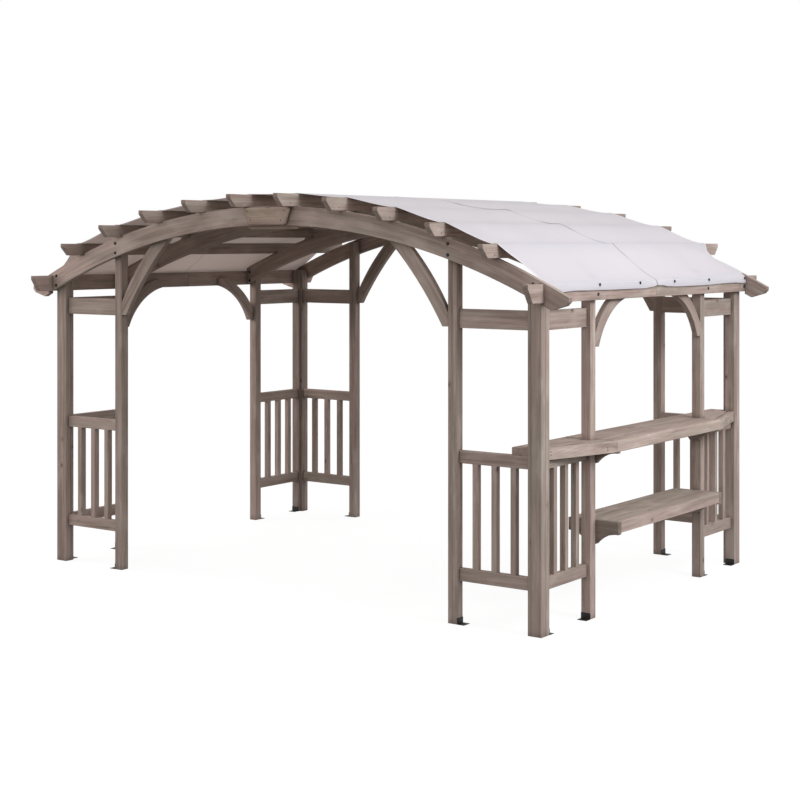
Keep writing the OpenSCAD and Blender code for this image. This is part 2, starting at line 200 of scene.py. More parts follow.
# Each of these gives, for wood whose boards run that way: the coordinates along, across and through the
# board, how much a face with normal n is end grain (None on slanting boards), and two numbers that tell a
# piece's boards apart.

def along_x(g, p, n):
    return (p[0], p[2], p[1]), n[0], (0.0, g.math("SIGN", p[1]))


def along_y(g, p, n):
    return (p[1], p[2], p[0]), n[1], (g.math("SIGN", p[0]), 0.0)


def along_z(g, p, n):
    return (p[2], p[0], p[1]), n[2], (g.math("SIGN", p[0]), g.math("SIGN", p[1]))


def along_arch(g, p, n):
    """Round the arches' centre, so that the grain follows the curve."""
    up = g.math("SUBTRACT", p[2], ARCH_CENTRE)
    angle = g.math("ARCTAN2", p[0], up)
    out = g.math("SQRT", g.math("ADD", g.math("MULTIPLY", p[0], p[0]), g.math("MULTIPLY", up, up)))
    return (g.math("MULTIPLY", angle, ARCH_RADIUS), out, p[1]), n[0], (g.math("SIGN", p[0]), 0.0)


def slanted(g, a, b, run):
    """Coordinates along and across the direction run in the plane of a and b."""
    length = math.hypot(*run)
    da, db = run[0] / length, run[1] / length
    along = g.math("ADD", g.math("MULTIPLY", a, da), g.math("MULTIPLY", b, db))
    across = g.math("SUBTRACT", g.math("MULTIPLY", b, da), g.math("MULTIPLY", a, db))
    return along, across


def along_arch_brace(g, p, n):
    along, across = slanted(g, g.math("ABSOLUTE", p[0]), p[2], ARCH_BRACE_RUN)
    return (along, across, p[1]), None, (g.math("SIGN", p[0]), g.math("SIGN", p[1]))


def along_side_brace(g, p, n):
    along, across = slanted(g, g.math("ABSOLUTE", p[1]), p[2], SIDE_BRACE_RUN)
    return (along, across, p[0]), None, (g.math("SIGN", p[0]), g.math("SIGN", p[1]))


def along_diagonal(g, p, n):
    along, across = slanted(g, p[0], g.math("ABSOLUTE", p[1]), DIAGONAL_RUN)
    return (along, across, p[2]), None, (DIAGONAL_KEY, g.math("SIGN", p[1]))


# cells per metre of the patterns in the wood, along, across and through the board
STREAK_CELLS = (2.4, 52.0, 52.0)
KNOT_CELLS = (4.5, 7.0, 7.0)            # each holds one knot or none
BEND_CELLS = (0.9, 5.0, 5.0)            # slow bends of the rings
CLEAR_CELLS = (1.5, 20.0, 20.0)         # places where the rings are clear
BAND_CELLS = (0.8, 17.0, 17.0)          # broad dark bands
BLOTCH_CELLS = (4.0, 10.0, 10.0)        # pale blotches
HUE_CELLS = (1.1, 24.0, 24.0)           # greenish and reddish places
FIBRE_CELLS = (14.0, 420.0, 420.0)
RING_WIDTH = 0.0115                     # of a growth ring, in metres
BOARD_OFFSET = (40.0, 40.0, 40.0)       # how far apart in the pattern two boards can be, in metres
BOARD_TONES = (0.89, 1.11)              # of a piece's darkest and lightest board
PAINTED_SHADE_REACH = 0.08                      # how far from a neighbour the painted shade reaches, in metres


def board_here(g, p, n, direction, other, where, boards, seams):
    """Where in the pattern the board at p is, its random number, how much the face is end grain, and the dark
    line of its seams. The last two can be None."""
    place, end, signs = direction(g, p, n)
    line = None
    point = g.vector(*place)
    key = g.vector(signs[0], signs[1], boards(g, p) if boards else 0.0)
    if other:
        inside = where(g, p)
        other_place, _, other_signs = other(g, p, n)
        point = g.switch(inside, point, g.vector(*other_place))
        key = g.switch(inside, key, g.vector(other_signs[0], other_signs[1], OTHER_KEY))
        end = None
    if seams:
        lamella, line = seams(g, p, n)
        key = g.add_vectors(key, g.vector(0.0, 0.0, lamella))
    own = g.node("ObjectInfo").outputs["Random"]
    board = g.node("TexWhiteNoise", {"Vector": key, "W": own}, noise_dimensions="4D").outputs
    point = g.add_vectors(point, g.scaled(board["Color"], BOARD_OFFSET))
    return point, board["Value"], end, line


def knots(g, point, streaks):
    """The eyes of the knots, which the rings run round, and their dark hearts."""
    cell = g.node("TexVoronoi", {"Vector": g.scaled(point, KNOT_CELLS), "Scale": 1.0, "Randomness": 0.9})
    chosen = g.math("GREATER_THAN", g.node("SeparateXYZ", (cell.outputs["Color"],)).outputs[0], 0.35)
    far = g.math("MULTIPLY_ADD", streaks, 0.05, cell.outputs["Distance"])
    eye = g.math("MULTIPLY", g.stretch(far, 0.18, 0.07), chosen)
    heart = g.math("MULTIPLY", g.stretch(far, 0.085, 0.062), chosen)
    return eye, heart


def growth_rings(g, point, eye):
    """Rings about a pith outside the board, bent by slow noise, and clear only in places."""
    _, side, deep = g.node("SeparateXYZ", (point,)).outputs[:3]
    bend = g.noise(point, BEND_CELLS, 2.0)
    ring_place = g.math("MULTIPLY_ADD", deep, 0.55, side)
    ring_place = g.math("MULTIPLY_ADD", bend, 0.11, ring_place)
    ring_place = g.math("MULTIPLY_ADD", eye, 0.012, ring_place)
    rings = g.math("SINE", g.math("MULTIPLY", ring_place, 2.0 * math.pi / RING_WIDTH))
    rings = g.math("MULTIPLY_ADD", rings, 0.5, 0.5)
    return g.math("MULTIPLY", rings, g.stretch(g.noise(point, CLEAR_CELLS, 2.0), 0.3, 0.65))


def wood_colour(g, point, streaks, eye, heart, rings, green):
    """Colour of the wood itself: greenish and reddish places, streaks, rings, bands, blotches and knots."""
    bands = g.noise(point, BAND_CELLS, 2.0)
    blotches = g.noise(point, BLOTCH_CELLS, 3.0)
    hue = g.noise(point, HUE_CELLS, 2.0)
    turn = 0.3 * green - 0.15
    colour = g.mix(g.stretch(hue, 0.32 + turn, 0.68 + turn), WOOD_GREEN, WOOD_RED)
    colour = g.mix(0.35, colour, WOOD)
    colour = g.mix(g.stretch(streaks, 0.50, 0.76, 0.0, 0.52), colour, WOOD_DARK)
    colour = g.mix(g.stretch(streaks, 0.50, 0.26, 0.0, 0.55), colour, WOOD_PALE)
    colour = g.mix(g.math("MULTIPLY", rings, 0.22), colour, WOOD_DARK)
    colour = g.mix(g.stretch(bands, 0.52, 0.72, 0.0, 0.42), colour, WOOD_DARK)
    colour = g.mix(g.stretch(blotches, 0.50, 0.28, 0.0, 0.38), colour, WOOD_PALE)
    colour = g.mix(g.math("MULTIPLY", eye, 0.38), colour, WOOD_DARK)
    return g.mix(g.math("MULTIPLY", heart, 0.62), colour, KNOT)


def wood_material(name, direction, tone=1.0, tint=(1.0, 1.0, 1.0), green=0.5, other=None, where=None,
                  boards=None, seams=None, shade=None):
    """Weathered stained softwood. tone lightens it, tint colours it, and green from 0 to 1 makes more of it
    greenish and less of it reddish. where gives 1 on the part of the piece whose boards run in the other
    direction. boards numbers boards that the direction's two numbers don't tell apart. seams numbers boards
    that meet, and gives the dark line between them. shade is above 1 where the wood is lighter."""
    g = new_material(name)
    texture = g.node("TexCoord").outputs
    p = g.node("SeparateXYZ", (texture["Object"],)).outputs[:3]
    n = [g.math("ABSOLUTE", v) for v in g.node("SeparateXYZ", (texture["Normal"],)).outputs[:3]]
    point, board, end, line = board_here(g, p, n, direction, other, where, boards, seams)
    streaks = g.noise(point, STREAK_CELLS, 4.0, 0.62)
    fibre = g.noise(point, FIBRE_CELLS, 3.0, 0.7)
    eye, heart = knots(g, point, streaks)
    rings = growth_rings(g, point, eye)
    colour = wood_colour(g, point, streaks, eye, heart, rings, green)
    if end is not None:
        colour = g.mix(g.stretch(end, 0.75, 0.95, 0.0, 0.34), colour, WOOD_DARK)
    if line is not None:
        colour = g.mix(g.math("MULTIPLY", line, 0.6), colour, JOINT_DIRT_AND_SHADE)

    # lightness of the fibres and of the board, and painted shade that darkens the wood near other surfaces, in
    # corners and where boards meet
    darkest, lightest = BOARD_TONES
    light = g.stretch(fibre, 0.2, 0.8, 0.93, 1.07)
    own_tone = g.math("MULTIPLY_ADD", board, (lightest - darkest) * tone, darkest * tone)
    light = g.math("MULTIPLY", light, own_tone)
    if shade:
        light = g.math("MULTIPLY", light, shade(g, p))
    colour = g.node("VectorMath", {0: colour, 3: light}, operation="SCALE").outputs[0]
    colour = g.scaled(colour, tint)
    corner = g.node("AmbientOcclusion", {"Distance": PAINTED_SHADE_REACH}, samples=6).outputs["AO"]
    colour = g.mix(g.stretch(corner, 0.80, 0.25, 0.0, 0.72), colour, JOINT_DIRT_AND_SHADE)

    height = g.math("MULTIPLY_ADD", fibre, 0.6, g.math("MULTIPLY", rings, 0.3))
    height = g.math("SUBTRACT", height, g.math("MULTIPLY", heart, 0.8))
    bump = g.node("Bump", {"Strength": 0.35, "Distance": 0.0012, "Height": height}).outputs[0]
    roughness = g.stretch(streaks, 0.2, 0.8, 0.74, 0.9)
    return g.finish(g.shader(Base_Color=colour, Roughness=roughness, Specular_IOR_Level=0.2, Normal=bump))


HEM = 0.024             # width of the canopy's hems at its front and back edges
SEAM_HALF = 0.008       # half the width of its middle seam
SEAM_SLOPE = 0.0050     # from the seam's middle to the middle of its slopes
SLOPE_HALF = 0.0030     # half the width of a slope
STITCH_INSET = 0.003    # from a hem's inner side to its line of stitches
STITCH_LENGTH = 0.004
STITCH_HALF = 0.0007    # half the width of a line of stitches
THREAD_PAIR = 0.0024    # width of two threads of the weave
# doubled cloth at the hems and seam; on the flaps it is also painted light
DOUBLED_AND_PAINTED_LIGHT_TONE = srgb(240, 235, 241)
STITCH_TONE = srgb(150, 143, 146)
# colour of the painted shade on the seam's slopes
SEAM_PAINTED_SHADE = srgb(118, 113, 116)


def cloth_material(name, light_tone, dark_tone, through_tone, share_through, high_tint, tint_z, tint_share):
    """One side of the woven sheet, with doubled hems and seam and their stitches, and painted shade on the seam's
    slopes; lets some light through. The colour high_tint comes in between the two heights tint_z, up to
    tint_share."""
    g = new_material(name)
    place = g.node("TexCoord").outputs["Object"]
    x, y, z = g.node("SeparateXYZ", (place,)).outputs[:3]
    from_edge = g.node("Attribute", attribute_name="from_edge").outputs["Fac"]
    from_seam = g.node("Attribute", attribute_name="from_seam").outputs["Fac"]
    colour = g.mix(g.noise(place, (2.5, 2.5, 2.5), 3.0), dark_tone, light_tone)
    colour = g.mix(g.stretch(z, tint_z[0], tint_z[1], 0.0, tint_share), colour, high_tint)
    in_seam = g.stretch(from_seam, SEAM_HALF + 0.0005, SEAM_HALF - 0.0005)
    # lighter where the cloth is doubled; on the flaps this is partly painted light
    doubled = g.math("MAXIMUM", g.stretch(from_edge, HEM + 0.001, HEM), in_seam)
    colour = g.mix(g.math("MULTIPLY", doubled, 0.75), colour, DOUBLED_AND_PAINTED_LIGHT_TONE)
    sewn = g.math("COMPARE", from_edge, HEM - STITCH_INSET, STITCH_HALF)
    sewn = g.math("MAXIMUM", sewn, g.math("COMPARE", from_seam, SEAM_HALF + 0.001, STITCH_HALF))
    run = g.math("MULTIPLY", g.math("ADD", x, y), 2.0 * math.pi / STITCH_LENGTH)
    stitch = g.math("MULTIPLY", sewn, g.math("GREATER_THAN", g.math("SINE", run), -0.4))
    colour = g.mix(g.math("MULTIPLY", stitch, 0.35), colour, STITCH_TONE)
    # painted shade on the seam's slopes, stronger in some places than in others
    slope = g.math("COMPARE", from_seam, SEAM_SLOPE, SLOPE_HALF)
    shade_strength = g.stretch(g.noise(place, (5.0, 0.5, 0.5), 2.0), 0.35, 0.62, 0.30, 0.60)
    colour = g.mix(g.math("MULTIPLY", slope, shade_strength), colour, SEAM_PAINTED_SHADE)
    warp = g.math("SINE", g.math("MULTIPLY", x, 2.0 * math.pi / THREAD_PAIR))
    weft = g.math("SINE", g.math("MULTIPLY", y, 2.0 * math.pi / THREAD_PAIR))
    relief = g.math("MULTIPLY_ADD", stitch, 2.0, g.math("MULTIPLY", warp, weft))
    bump = g.node("Bump", {"Strength": 0.25, "Distance": 0.0004, "Height": relief}).outputs[0]
    front = g.shader(Base_Color=colour, Roughness=0.85, Specular_IOR_Level=0.15, Normal=bump)
    through = g.node("BsdfTranslucent", {"Color": through_tone, "Normal": bump}).outputs[0]
    return g.finish(g.node("MixShader", (share_through, front, through)).outputs[0])


def steel_material():
    """Black powder-coated steel, a little worn."""
    g = new_material("black_steel")
    place = g.node("TexCoord").outputs["Object"]
    worn = g.noise(place, (40.0, 40.0, 40.0), 4.0)
    colour = g.mix(g.stretch(worn, 0.45, 0.75), srgb(24, 23, 23), srgb(52, 49, 47))
    grit = g.noise(place, (900.0, 900.0, 900.0), 2.0)
    bump = g.node("Bump", {"Strength": 0.2, "Distance": 0.0003, "Height": grit}).outputs[0]
    return g.finish(g.shader(Base_Color=colour, Roughness=g.stretch(worn, 0.2, 0.8, 0.45, 0.65), Metallic=0.3,
                             Normal=bump))


# top side: greyer and greener towards the crown
cloth = cloth_material(
    "canopy_cloth", light_tone=srgb(231, 227, 234), dark_tone=srgb(226, 221, 227),
    through_tone=srgb(242, 234, 232), share_through=0.20,
    high_tint=srgb(150, 154, 132), tint_z=(2.20, 2.50), tint_share=0.08)
# underside, the same cloth: its warmer tones are painted light bounced from the wood, and high_tint is painted
# shade, darker towards the crown
lining = cloth_material(
    "canopy_underside", light_tone=srgb(241, 231, 224), dark_tone=srgb(233, 222, 214),
    through_tone=srgb(246, 236, 228), share_through=0.50,
    high_tint=srgb(100, 91, 84), tint_z=(2.14, 2.42), tint_share=0.56)
steel = steel_material()


# ---- canopy: one sheet over the purlins, held by screws along both flaps ----

CLEAR = 0.0025          # sheet's middle above what carries it
ARCH_CLEAR = CLEAR + 0.001      # and above the arches
SHEET_THICK = 0.0014
HEM_RISE = 0.0007       # how far the doubled hem stands up
ROWS = 132              # even rows of points along the purlins, besides those of hems and seam
GAP_STEPS = 13          # across a gap between two purlins
LAST_GAP_STEPS = 24     # from the outermost purlin to the eave beam
FLAP_STEPS = 8          # down a flap
ROW_GAP = 0.003         # between the close rows of a hem or the seam and the even rows
# (distance from the edge, share of the hem's rise): down in its line of stitches
HEM_ROWS = [(0.0, 1.0), (0.004, 1.0), (HEM - 0.005, 1.0), (HEM - STITCH_INSET, 0.0), (HEM - 0.001, 1.0),
            (HEM, 0.0), (HEM + 0.002, 0.0)]
# (distance from the seam, share of its rise), and the rise: (x, metres)
SEAM_ROWS = [(-0.0110, 0.0), (-0.0080, 0.1), (-0.0045, 0.8), (-0.0020, 1.0),
             (0.0020, 1.0), (0.0045, 0.8), (0.0080, 0.1), (0.0110, 0.0)]
SEAM_RISE = [(0.0, 0.0015), (0.62, 0.0015), (0.74, 0.0065), (1.00, 0.0065), (1.10, 0.0015), (1.20, 0.0015),
             (1.25, 0.0050), (1.33, 0.0050), (1.38, 0.0015), (1.42, 0.0050), (1.48, 0.0050), (1.55, 0.0022),
             (1.97, 0.0020), (2.02, 0.0008)]

# sag in each gap from the crown out: (y, metres) from the front edge to the back edge
GAP_SAGS = [
    [(-1.364, 0.002), (-1.1, 0.005), (1.1, 0.005), (1.364, 0.004)],
    [(-1.364, 0.003), (-1.0, 0.009), (1.0, 0.009), (1.364, 0.005)],
    [(-1.364, 0.003), (-1.0, 0.011), (1.0, 0.011), (1.364, 0.006)],
    [(-1.364, 0.004), (-1.0, 0.013), (0.0, 0.015), (1.0, 0.013), (1.364, 0.007)],
    [(-1.364, 0.006), (-1.0, 0.013), (0.0, 0.016), (0.9, 0.014), (1.364, 0.009)],
]
# and in the last gap, from the outermost purlin to the eave beam
LAST_SAG_RIGHT = [(-1.364, 0.004), (-1.15, 0.009), (-0.8, 0.015), (0.0, 0.014), (0.8, 0.018), (1.1, 0.030),
                  (1.364, 0.066)]
LAST_SAG_LEFT = [(-1.364, 0.004), (-1.0, 0.012), (0.0, 0.014), (1.0, 0.013), (1.364, 0.008)]
# (y, height) of a flap's lower edge, and (y, metres) that it stands out past the flap's top
HEM_Z = [(-1.364, 1.9680), (-1.2, 1.9745), (-1.05, 1.9795), (-0.9, 1.9770), (-0.6, 1.9745), (-0.3, 1.9735),
         (-0.16, 1.9730), (-0.08, 1.9785), (0.0, 1.9885), (0.08, 1.9870), (0.16, 1.9780), (0.3, 1.9740),
         (0.8, 1.9745), (0.95, 1.9790), (1.15, 1.9815), (1.364, 1.9740)]
HEM_OUT = [(-1.364, 0.002), (-0.98, 0.005), (-0.745, 0.0015), (-0.45, 0.004), (-0.22, 0.0015), (-0.08, 0.004),
           (0.0, 0.008), (0.1, 0.004), (0.258, 0.0015), (0.5, 0.0045), (0.775, 0.0015), (1.1, 0.004),
           (1.364, 0.0015)]
# (x, metres) that the front and back edges bulge out, and that the middle seam wanders along y
FRONT_OUT = [(0.585, 0.0), (0.971, 0.023), (1.349, 0.052), (1.719, 0.060), (1.95, 0.0)]
BACK_OUT = [(1.74, 0.0), (1.79, 0.036), (1.99, 0.036), (2.03, 0.0)]
SEAM_OFF = [(0.0, -0.29), (0.7, -0.28), (1.02, -0.106), (1.23, -0.050), (1.43, -0.052), (1.64, -0.020),
            (1.75, -0.026), (1.87, -0.006), (1.97, -0.018), (2.03, -0.008)]
DOWNHILL = 0.62         # skew of a gap's sag, whose low point lies towards the lower purlin
BACK_SKEW = 2.1         # skew of the last gap's sag at the back edge, whose low point lies towards the purlin
BACK_SKEW_Y = 0.8       # where the last gap's sag starts to turn that way
FLAP_HEM = 0.047        # width of the hem along a flap, which from_edge gives as HEM; it covers the whole flap, so the flap's lighter doubled tone is partly painted light
EDGE_PULL = 0.16        # depth of the strip that an edge pulls with it
SEAM_PULL = 0.75 * SHEET_END    # how far from the middle the seam's wandering reaches
ARCH_REACH = 0.10       # how far from an arch the sheet is still lifted by it
ARCHES_Y = [(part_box(name)[0].y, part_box(name)[1].y)
            for name in ("front_arch", "inner_front_arch", "inner_back_arch", "back_arch")]
# the sheet over a purlin: (share of half its width, metres above CLEAR)
OVER_PURLIN = [(-1.0, -0.0006), (-0.7, 0.0), (0.0, 0.0004), (0.7, 0.0), (1.0, -0.0008)]
# the bend over an eave beam: x from its outer face and z from its top. The first point ends the last gap and
# is left out, and the last one is the flap's top.
EAVE_BEND = [(-0.026, CLEAR + 0.0130), (-0.019, CLEAR + 0.0090), (-0.012, CLEAR + 0.0050),
             (-0.005, CLEAR + 0.0008), (0.0, -0.0022), (0.0042, -0.0080), (0.0062, -0.0130)]
FLAP_BULGE = 0.0015     # how far the flap's middle height bulges out


def sagging(a, b, sag, count, skew=1.0):
    """Points from a to b, both left out, on a curve that hangs by sag. Its low point lies at the share
    0.5 ** skew of the way."""
    points = []
    for i in range(1, count):
        t = i / count
        drop = 4.0 * t ** (1.0 / skew) * (1.0 - t ** (1.0 / skew))
        points.append((a[0] + (b[0] - a[0]) * t, a[1] + (b[1] - a[1]) * t - sag * drop))
    return points


def arch_top(x):
    return math.sqrt(ARCH_RADIUS ** 2 - x * x) + ARCH_CENTRE


def lifted(x, y, z):
    """Height z of the sheet, kept clear of the arches that it passes over."""
    near = min(max(low - y, y - high, 0.0) for low, high in ARCHES_Y)
    share = 1.0 - smoothstep(0.0, ARCH_REACH, near)
    return z + share * max(arch_top(x) + ARCH_CLEAR - z, 0.0)


def sheet_profile(y, last_sag):
    """(x, z) of one half of the sheet at y, from the middle out to the flap's edge."""
    tops = [(x, z + CLEAR) for x, z in PURLINS]
    half = BOARD / 2
    crown_x, crown_z = tops[0]
    crown_sag = between(GAP_SAGS[0], y)
    over_crown = sagging((-crown_x + half, crown_z), (crown_x - half, crown_z), crown_sag, GAP_STEPS)
    profile = [(0.0, crown_z - crown_sag)] + [(x, z) for x, z in over_crown if x > SAME_POINT]
    for i, (x, z) in enumerate(tops):
        profile += [(x + half * share, z + up) for share, up in OVER_PURLIN]
        if i + 1 < len(tops):
            next_x, next_z = tops[i + 1]
            profile += sagging(profile[-1], (next_x - half, next_z + OVER_PURLIN[0][1]),
                               between(GAP_SAGS[i + 1], y), GAP_STEPS, DOWNHILL)
    bend = [(EAVE_X + dx, EAVE_TOP + dz) for dx, dz in EAVE_BEND]
    skew = 1.0 + (BACK_SKEW - 1.0) * smoothstep(BACK_SKEW_Y, SHEET_END, y)
    profile += sagging(profile[-1], bend[0], between(last_sag, y), LAST_GAP_STEPS, skew)
    profile = [(x, lifted(x, y, z)) for x, z in profile]
    profile += bend[1:-1]
    top_x, top_z = bend[-1]
    hem_out, hem_z = between(HEM_OUT, y), between(HEM_Z, y)
    for i in range(FLAP_STEPS + 1):
        t = i / FLAP_STEPS
        bulge = FLAP_BULGE * math.sin(math.pi * t)
        profile.append((top_x + hem_out * t + bulge, top_z + (hem_z - top_z) * t))
    return profile


def sheet_rows():
    """(y, hem's rise, share of the seam's rise) of the rows from front to back: even rows, and close ones at
    the hems and the middle seam."""
    rows = []
    for j in range(ROWS + 1):
        y = -SHEET_END + 2.0 * SHEET_END * j / ROWS
        if HEM_ROWS[-1][0] + ROW_GAP < SHEET_END - abs(y) and abs(y) > SEAM_ROWS[-1][0] + ROW_GAP:
            rows.append((y, 0.0, 0.0))
    for inside, share in HEM_ROWS:
        rise = HEM_RISE * share
        rows += [(-SHEET_END + inside, rise, 0.0), (SHEET_END - inside, rise, 0.0)]
    return sorted(rows + [(y, 0.0, share) for y, share in SEAM_ROWS])


def half_row(y, hem_rise, seam_share, last_sag):
    """(x, y, z, distance from the nearest edge) of the points of one half's row, from the middle out."""
    profile = sheet_profile(y, last_sag)
    pull_front = 1.0 - smoothstep(0.0, EDGE_PULL, y + SHEET_END)
    pull_back = 1.0 - smoothstep(0.0, EDGE_PULL, SHEET_END - y)
    pull_seam = 1.0 - smoothstep(0.0, SEAM_PULL, abs(y))
    lengths = [0.0]
    for a, b in zip(profile, profile[1:]):
        lengths.append(lengths[-1] + math.dist(a, b))
    row = []
    for (x, z), run in zip(profile, lengths):
        shift = (pull_back * between(BACK_OUT, x) - pull_front * between(FRONT_OUT, x)
                 + pull_seam * between(SEAM_OFF, x))
        rise = hem_rise + seam_share * between(SEAM_RISE, x)
        edge = min(SHEET_END - abs(y), (lengths[-1] - run) * HEM / FLAP_HEM)
        row.append((x, y + shift, z + rise, edge))
    return row


def build_canopy():
    mesh = bpy.data.meshes.new("canopy_sheet")
    points, from_edge, from_seam = [], [], []
    for y, hem_rise, seam_share in sheet_rows():
        left = [(-x, py, z, edge) for x, py, z, edge in half_row(y, hem_rise, seam_share, LAST_SAG_LEFT)]
        right = half_row(y, hem_rise, seam_share, LAST_SAG_RIGHT)
        for x, py, z, edge in left[:0:-1] + right:
            points.append((x, py, z))
            from_edge.append(edge)
            from_seam.append(abs(y))
    width = 2 * len(right) - 1
    count = len(points) // width
    faces = [(j * width + i, j * width + i + 1, (j + 1) * width + i + 1, (j + 1) * width + i)
             for j in range(count - 1) for i in range(width - 1)]
    mesh.from_pydata(points, [], faces)
    smooth(mesh)
    for name, values in (("from_edge", from_edge), ("from_seam", from_seam)):
        mesh.attributes.new(name, "FLOAT", "POINT").data.foreach_set("value", values)
    sheet = new_piece("canopy_sheet", mesh, cloth)
    solid = sheet.modifiers.new("thickness", "SOLIDIFY")
    solid.thickness = SHEET_THICK
    solid.offset = 0.0
    sheet.data.materials.append(lining)
    solid.material_offset = 1
    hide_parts("canopy")
    return sheet


canopy = build_canopy()


def sheet_length():
    """Length of the sheet across the purlins, along its middle."""
    halves = [sheet_profile(0.0, last_sag) for last_sag in (LAST_SAG_LEFT, LAST_SAG_RIGHT)]
    return sum(math.dist(a, b) for profile in halves for a, b in zip(profile, profile[1:]))


# ---- bolts and screws ----

HEAD_SIDES = 12
# shares of the radius and the height
HEAD_RINGS = [(1.0, 0.0), (1.0, 0.35), (0.88, 0.7), (0.6, 0.95), (0.25, 1.0)]


def domed_head(bm, place, normal, radius, height):
    """A low domed bolt head with a rim, standing on place and facing normal."""
    upright = Vector((0, 0, 1)).rotation_difference(Vector(normal).normalized())
    base = Matrix.Translation(Vector(place)) @ upright.to_matrix().to_4x4()
    turns = [2 * math.pi * k / HEAD_SIDES for k in range(HEAD_SIDES)]
    loops = []
    for r, h in HEAD_RINGS:
        ring = [(radius * r * math.cos(turn), radius * r * math.sin(turn), height * h) for turn in turns]
        loops.append([bm.verts.new(base @ Vector(point)) for point in ring])
    for a, b in zip(loops, loops[1:]):
        for k in range(HEAD_SIDES):
            following = (k + 1) % HEAD_SIDES
            bm.faces.new((a[k], a[following], b[following], b[k]))
    bm.faces.new(loops[-1])
    bm.faces.new(list(reversed(loops[0])))


def heads(name, places, radius, height):
    """One piece with a head at each (place, normal)."""
    bm = bmesh.new()
    for place, normal in places:
        domed_head(bm, place, normal, radius, height)
    mesh = bpy.data.meshes.new(name)
    bm.to_mesh(mesh)
    bm.free()
    smooth(mesh)
    return new_piece(name, mesh, steel)


# x and z, on the outer faces of the outer arches and on the inner arches' faces towards the middle
ARCH_BOLTS = [(1.3805, 2.255), (1.3805, 2.189), (1.966, 2.024), (1.966, 1.957)]
INNER_ARCH_BOLTS = [(1.968, 2.020), (1.968, 1.951)]
EAVE_BOLTS_Y = [-1.340, -0.764, 0.770, 1.352]
EAVE_BOLTS_Z = 1.952
FLAP_SCREWS_Y = [-1.345, -0.760, -0.238, 0.243, 0.762, 1.345]
FLAP_SCREWS_Z = 2.010
FLAP_OUT = 0.0095       # from the eave beam's outer face to the flap's
PLATE_SCREWS = [(-0.159, 2.4635), (0.149, 2.4635), (-0.130, 2.4040), (0.124, 2.4040)]      # x and z
PURLIN_SCREW_Y = 1.450
PURLIN_SCREW_UP = 0.020     # above the purlin's lower edge
# the ends of the diagonal edge boards' outer faces, at the corner post and at the long edge board
DIAGONAL_FROM = Vector((1.998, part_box("bar_edge_boards")[1].y))
DIAGONAL_TO = Vector((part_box("bar_edge_boards")[1].x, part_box("side_post_back_right")[0].y))
DIAGONAL_OUT = Vector((DIAGONAL_FROM.y - DIAGONAL_TO.y, DIAGONAL_TO.x - DIAGONAL_FROM.x)).normalized()
# share of the way, and z
DIAGONAL_SCREWS = [(0.025, 1.055), (0.025, 1.038), (0.85, 1.041), (0.85, 1.027)]

bolt_places = []
for side in (-1, 1):
    for end in (-1, 1):
        for x, z in ARCH_BOLTS:
            bolt_places.append(((side * x, end * abs(FRONT_ARCH_Y), z), (0, end, 0)))
    for y, towards_middle in ((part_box("inner_front_arch")[1].y, 1), (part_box("inner_back_arch")[0].y, -1)):
        for x, z in INNER_ARCH_BOLTS:
            bolt_places.append(((side * x, y, z), (0, towards_middle, 0)))
    for y in EAVE_BOLTS_Y:
        bolt_places.append(((side * EAVE_X, y, EAVE_BOLTS_Z), (side, 0, 0)))
heads("bolts", bolt_places, radius=0.0105, height=0.006)

screw_places = [((side * (EAVE_X + FLAP_OUT), y, FLAP_SCREWS_Z), (side, 0, 0))
                for side in (-1, 1) for y in FLAP_SCREWS_Y]
flap_screws = heads("flap_screws", screw_places, radius=0.0102, height=0.0045)

plates_y = abs(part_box("crown_plates")[0].y)
wood_screws = [((x, end * plates_y, z), (0, end, 0)) for x, z in PLATE_SCREWS for end in (-1, 1)]
for node in PURLIN_NODES:
    low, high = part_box(node)
    wood_screws += [((side * high.x, end * PURLIN_SCREW_Y, low.z + PURLIN_SCREW_UP), (side, 0, 0))
                    for side in (-1, 1) for end in (-1, 1)]
for share, z in DIAGONAL_SCREWS:
    x, y = DIAGONAL_FROM.lerp(DIAGONAL_TO, share)
    wood_screws += [((x, end * y, z), (DIAGONAL_OUT.x, end * DIAGONAL_OUT.y, 0)) for end in (-1, 1)]
heads("wood_screws", wood_screws, radius=0.0040, height=0.0012)

round(sheet_length(), 3)


# ---- finish of the frame's own pieces ----

RAIL_MIDDLE = 0.6425                        # height of the panels' middle
RAIL_HALF = 0.3115                          # from there to their rails
CORNER_RAILS_Y = 1.29                       # front and back rails lie beyond this
CORNER_POST_Y = -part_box("corner_post_front_right")[1].y     # inner face of the corner posts
BAR_JOINT_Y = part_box("side_post_back_right")[0].y           # where the bar's boards meet
SLIM_SEAM_X = (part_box("inner_post_front_right")[0].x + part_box("inner_post_front_right")[1].x) / 2
POST_STRIP_X = 1.930                        # seams of the corner posts' glued boards
POST_STRIP_Y = 1.320
BALUSTER = 0.038                            # width of a baluster
JOINT_HALF = 0.006                          # half the width of the dark line at the bar's joints,
POST_SEAM_HALF = 0.0016                     # in a corner post's seams,
SLIM_SEAM_HALF = 0.0010                     # in a slim post's seam,
EAVE_JOINT_HALF = 0.0014                    # and at an eave beam's joint
FACING = 0.7                                # share of a normal along an axis, for faces that look that way
LIGHT_HALF = 1.08                           # tone of the front arch's left half
DARK_HALF = 0.94                            # and of its right half
LIGHT_RAIL = 1.13                           # tone of the front rail on the left
PANEL_START_X = 1.420                       # where the front and back panels' openings start
PANEL_START_Y = 0.792                       # and the side panels'
PANEL_PITCH = (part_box("front_panel_right")[1].x - PANEL_START_X - 3 * BALUSTER) / 4 + BALUSTER
SIDE_PITCH = (CORNER_POST_Y - PANEL_START_Y - 3 * BALUSTER) / 4 + BALUSTER


# Each of these gives 1 where the boards of a piece run in its other direction.

